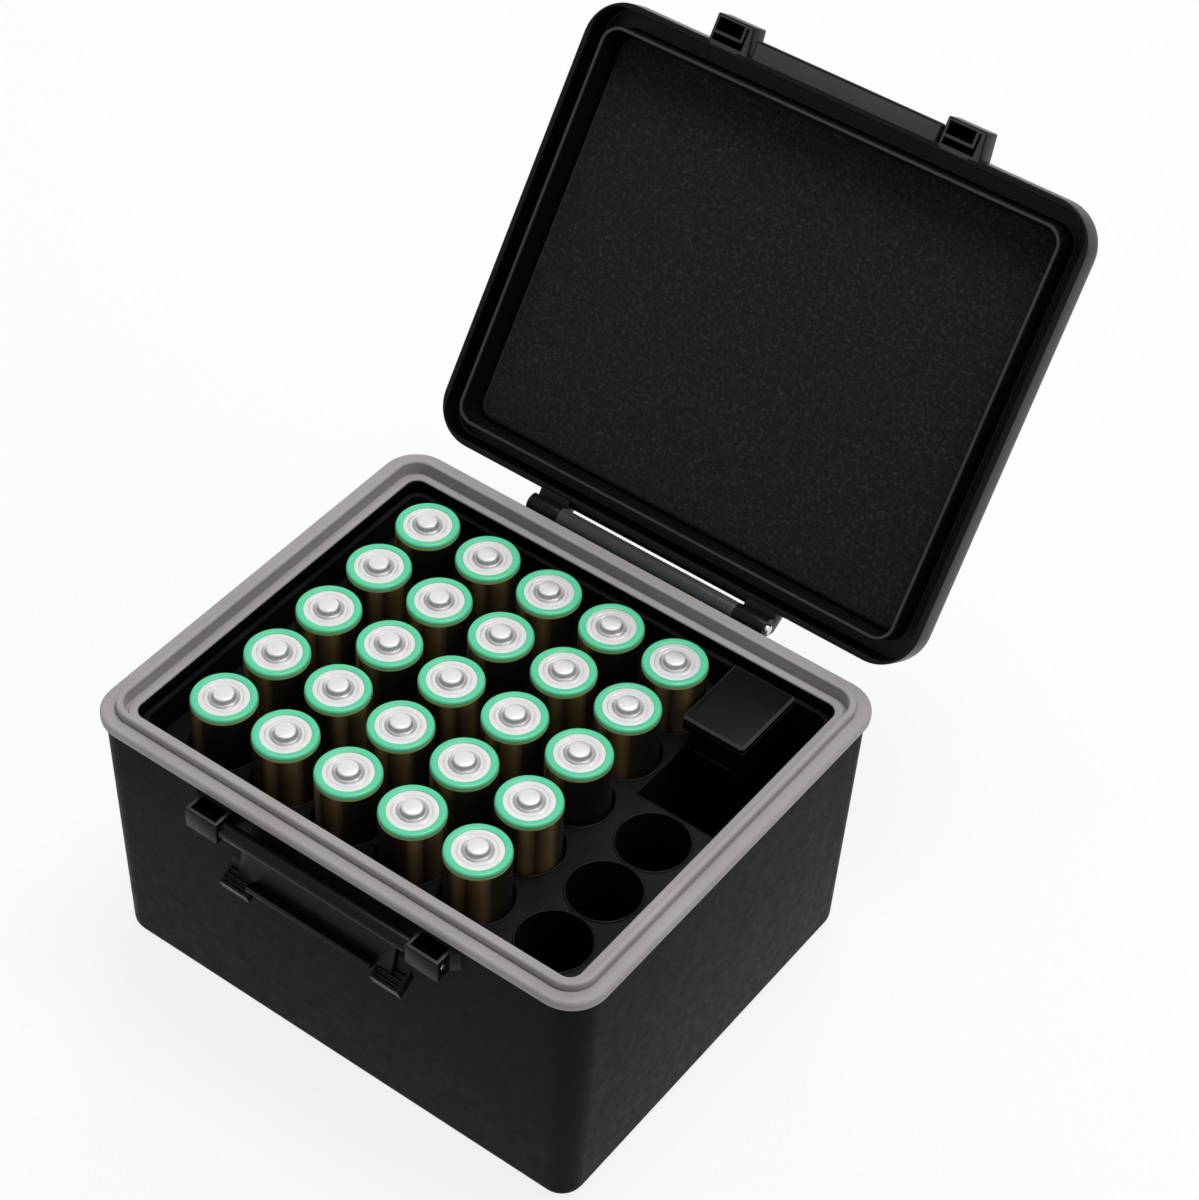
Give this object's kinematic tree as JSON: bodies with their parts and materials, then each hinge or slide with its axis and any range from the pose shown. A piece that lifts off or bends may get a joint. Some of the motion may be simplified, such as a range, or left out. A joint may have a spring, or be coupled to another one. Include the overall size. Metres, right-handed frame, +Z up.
{
  "type": "battery storage case",
  "caption": "Hinged storage case for round battery cells: deep box with a rubber seal, moulded well tray, foam lined lid and a front latch flap, shown open.",
  "frame": {"origin": "centre of the box's flat underside", "axes": "+Z up, +X along the front from left to right, +Y back towards the hinge"},
  "size_m": [0.1308, 0.1883, 0.1639],
  "materials": {
    "case_plastic": "fine textured black polypropylene",
    "tray_plastic": "black moulded tray",
    "seal_rubber": "soft grey silicone",
    "foam": "dark open cell foam",
    "small_box_plastic": "dark satin",
    "cell_sleeve": "shrink sleeve over a steel can",
    "pin_steel": "bright drawn wire"
  },
  "bodies": {
    "case": {"box_body": "case_plastic", "rim_gasket": "seal_rubber", "tray_insert": "tray_plastic", "hinge_pin": "pin_steel", "latch_pin": "pin_steel"},
    "lid": {"lid_shell": "case_plastic", "lid_foam": "foam"},
    "flap": {"latch_flap": "case_plastic"},
    "small_box": {"corner_box": "small_box_plastic", "corner_box_cap": "small_box_plastic"},
    "cell_r1c1_body": {"cell_r1c1": "cell_sleeve"},
    "cell_r1c2_body": {"cell_r1c2": "cell_sleeve"},
    "cell_r1c3_body": {"cell_r1c3": "cell_sleeve"},
    "cell_r1c4_body": {"cell_r1c4": "cell_sleeve"},
    "cell_r1c5_body": {"cell_r1c5": "cell_sleeve"},
    "cell_r2c1_body": {"cell_r2c1": "cell_sleeve"},
    "cell_r2c2_body": {"cell_r2c2": "cell_sleeve"},
    "cell_r2c3_body": {"cell_r2c3": "cell_sleeve"},
    "cell_r2c4_body": {"cell_r2c4": "cell_sleeve"},
    "cell_r2c5_body": {"cell_r2c5": "cell_sleeve"},
    "cell_r3c1_body": {"cell_r3c1": "cell_sleeve"},
    "cell_r3c2_body": {"cell_r3c2": "cell_sleeve"},
    "cell_r3c3_body": {"cell_r3c3": "cell_sleeve"},
    "cell_r3c4_body": {"cell_r3c4": "cell_sleeve"},
    "cell_r3c5_body": {"cell_r3c5": "cell_sleeve"},
    "cell_r4c1_body": {"cell_r4c1": "cell_sleeve"},
    "cell_r4c2_body": {"cell_r4c2": "cell_sleeve"},
    "cell_r4c3_body": {"cell_r4c3": "cell_sleeve"},
    "cell_r4c4_body": {"cell_r4c4": "cell_sleeve"},
    "cell_r4c5_body": {"cell_r4c5": "cell_sleeve"},
    "cell_r5c1_body": {"cell_r5c1": "cell_sleeve"},
    "cell_r5c2_body": {"cell_r5c2": "cell_sleeve"},
    "cell_r5c3_body": {"cell_r5c3": "cell_sleeve"},
    "cell_r5c4_body": {"cell_r5c4": "cell_sleeve"},
    "cell_r5c5_body": {"cell_r5c5": "cell_sleeve"}
  },
  "joints": [
    {"name": "lid_hinge", "type": "hinge", "parent": "case", "child": "lid", "pos_m": [0, 0.057, 0.0682], "axis": [-1, 0, 0], "range_deg": [-124, 0]},
    {"name": "latch_swing", "type": "hinge", "parent": "case", "child": "flap", "pos_m": [0, -0.0563, 0.0625], "axis": [-1, 0, 0], "range_deg": [-4, 167]},
    {"name": "small_box_lift", "type": "slide", "parent": "case", "child": "small_box", "axis": [0, 0, 1], "range_m": [0, 0.045]},
    {"name": "cell_r1c1_lift", "type": "slide", "parent": "case", "child": "cell_r1c1_body", "axis": [0, 0, 1], "range_m": [0, 0.055]},
    {"name": "cell_r1c2_lift", "type": "slide", "parent": "case", "child": "cell_r1c2_body", "axis": [0, 0, 1], "range_m": [0, 0.055]},
    {"name": "cell_r1c3_lift", "type": "slide", "parent": "case", "child": "cell_r1c3_body", "axis": [0, 0, 1], "range_m": [0, 0.055]},
    {"name": "cell_r1c4_lift", "type": "slide", "parent": "case", "child": "cell_r1c4_body", "axis": [0, 0, 1], "range_m": [0, 0.055]},
    {"name": "cell_r1c5_lift", "type": "slide", "parent": "case", "child": "cell_r1c5_body", "axis": [0, 0, 1], "range_m": [0, 0.055]},
    {"name": "cell_r2c1_lift", "type": "slide", "parent": "case", "child": "cell_r2c1_body", "axis": [0, 0, 1], "range_m": [0, 0.055]},
    {"name": "cell_r2c2_lift", "type": "slide", "parent": "case", "child": "cell_r2c2_body", "axis": [0, 0, 1], "range_m": [0, 0.055]},
    {"name": "cell_r2c3_lift", "type": "slide", "parent": "case", "child": "cell_r2c3_body", "axis": [0, 0, 1], "range_m": [0, 0.055]},
    {"name": "cell_r2c4_lift", "type": "slide", "parent": "case", "child": "cell_r2c4_body", "axis": [0, 0, 1], "range_m": [0, 0.055]},
    {"name": "cell_r2c5_lift", "type": "slide", "parent": "case", "child": "cell_r2c5_body", "axis": [0, 0, 1], "range_m": [0, 0.055]},
    {"name": "cell_r3c1_lift", "type": "slide", "parent": "case", "child": "cell_r3c1_body", "axis": [0, 0, 1], "range_m": [0, 0.055]},
    {"name": "cell_r3c2_lift", "type": "slide", "parent": "case", "child": "cell_r3c2_body", "axis": [0, 0, 1], "range_m": [0, 0.055]},
    {"name": "cell_r3c3_lift", "type": "slide", "parent": "case", "child": "cell_r3c3_body", "axis": [0, 0, 1], "range_m": [0, 0.055]},
    {"name": "cell_r3c4_lift", "type": "slide", "parent": "case", "child": "cell_r3c4_body", "axis": [0, 0, 1], "range_m": [0, 0.055]},
    {"name": "cell_r3c5_lift", "type": "slide", "parent": "case", "child": "cell_r3c5_body", "axis": [0, 0, 1], "range_m": [0, 0.055]},
    {"name": "cell_r4c1_lift", "type": "slide", "parent": "case", "child": "cell_r4c1_body", "axis": [0, 0, 1], "range_m": [0, 0.055]},
    {"name": "cell_r4c2_lift", "type": "slide", "parent": "case", "child": "cell_r4c2_body", "axis": [0, 0, 1], "range_m": [0, 0.055]},
    {"name": "cell_r4c3_lift", "type": "slide", "parent": "case", "child": "cell_r4c3_body", "axis": [0, 0, 1], "range_m": [0, 0.055]},
    {"name": "cell_r4c4_lift", "type": "slide", "parent": "case", "child": "cell_r4c4_body", "axis": [0, 0, 1], "range_m": [0, 0.055]},
    {"name": "cell_r4c5_lift", "type": "slide", "parent": "case", "child": "cell_r4c5_body", "axis": [0, 0, 1], "range_m": [0, 0.055]},
    {"name": "cell_r5c1_lift", "type": "slide", "parent": "case", "child": "cell_r5c1_body", "axis": [0, 0, 1], "range_m": [0, 0.055]},
    {"name": "cell_r5c2_lift", "type": "slide", "parent": "case", "child": "cell_r5c2_body", "axis": [0, 0, 1], "range_m": [0, 0.055]},
    {"name": "cell_r5c3_lift", "type": "slide", "parent": "case", "child": "cell_r5c3_body", "axis": [0, 0, 1], "range_m": [0, 0.055]},
    {"name": "cell_r5c4_lift", "type": "slide", "parent": "case", "child": "cell_r5c4_body", "axis": [0, 0, 1], "range_m": [0, 0.055]},
    {"name": "cell_r5c5_lift", "type": "slide", "parent": "case", "child": "cell_r5c5_body", "axis": [0, 0, 1], "range_m": [0, 0.055]}
  ]
}
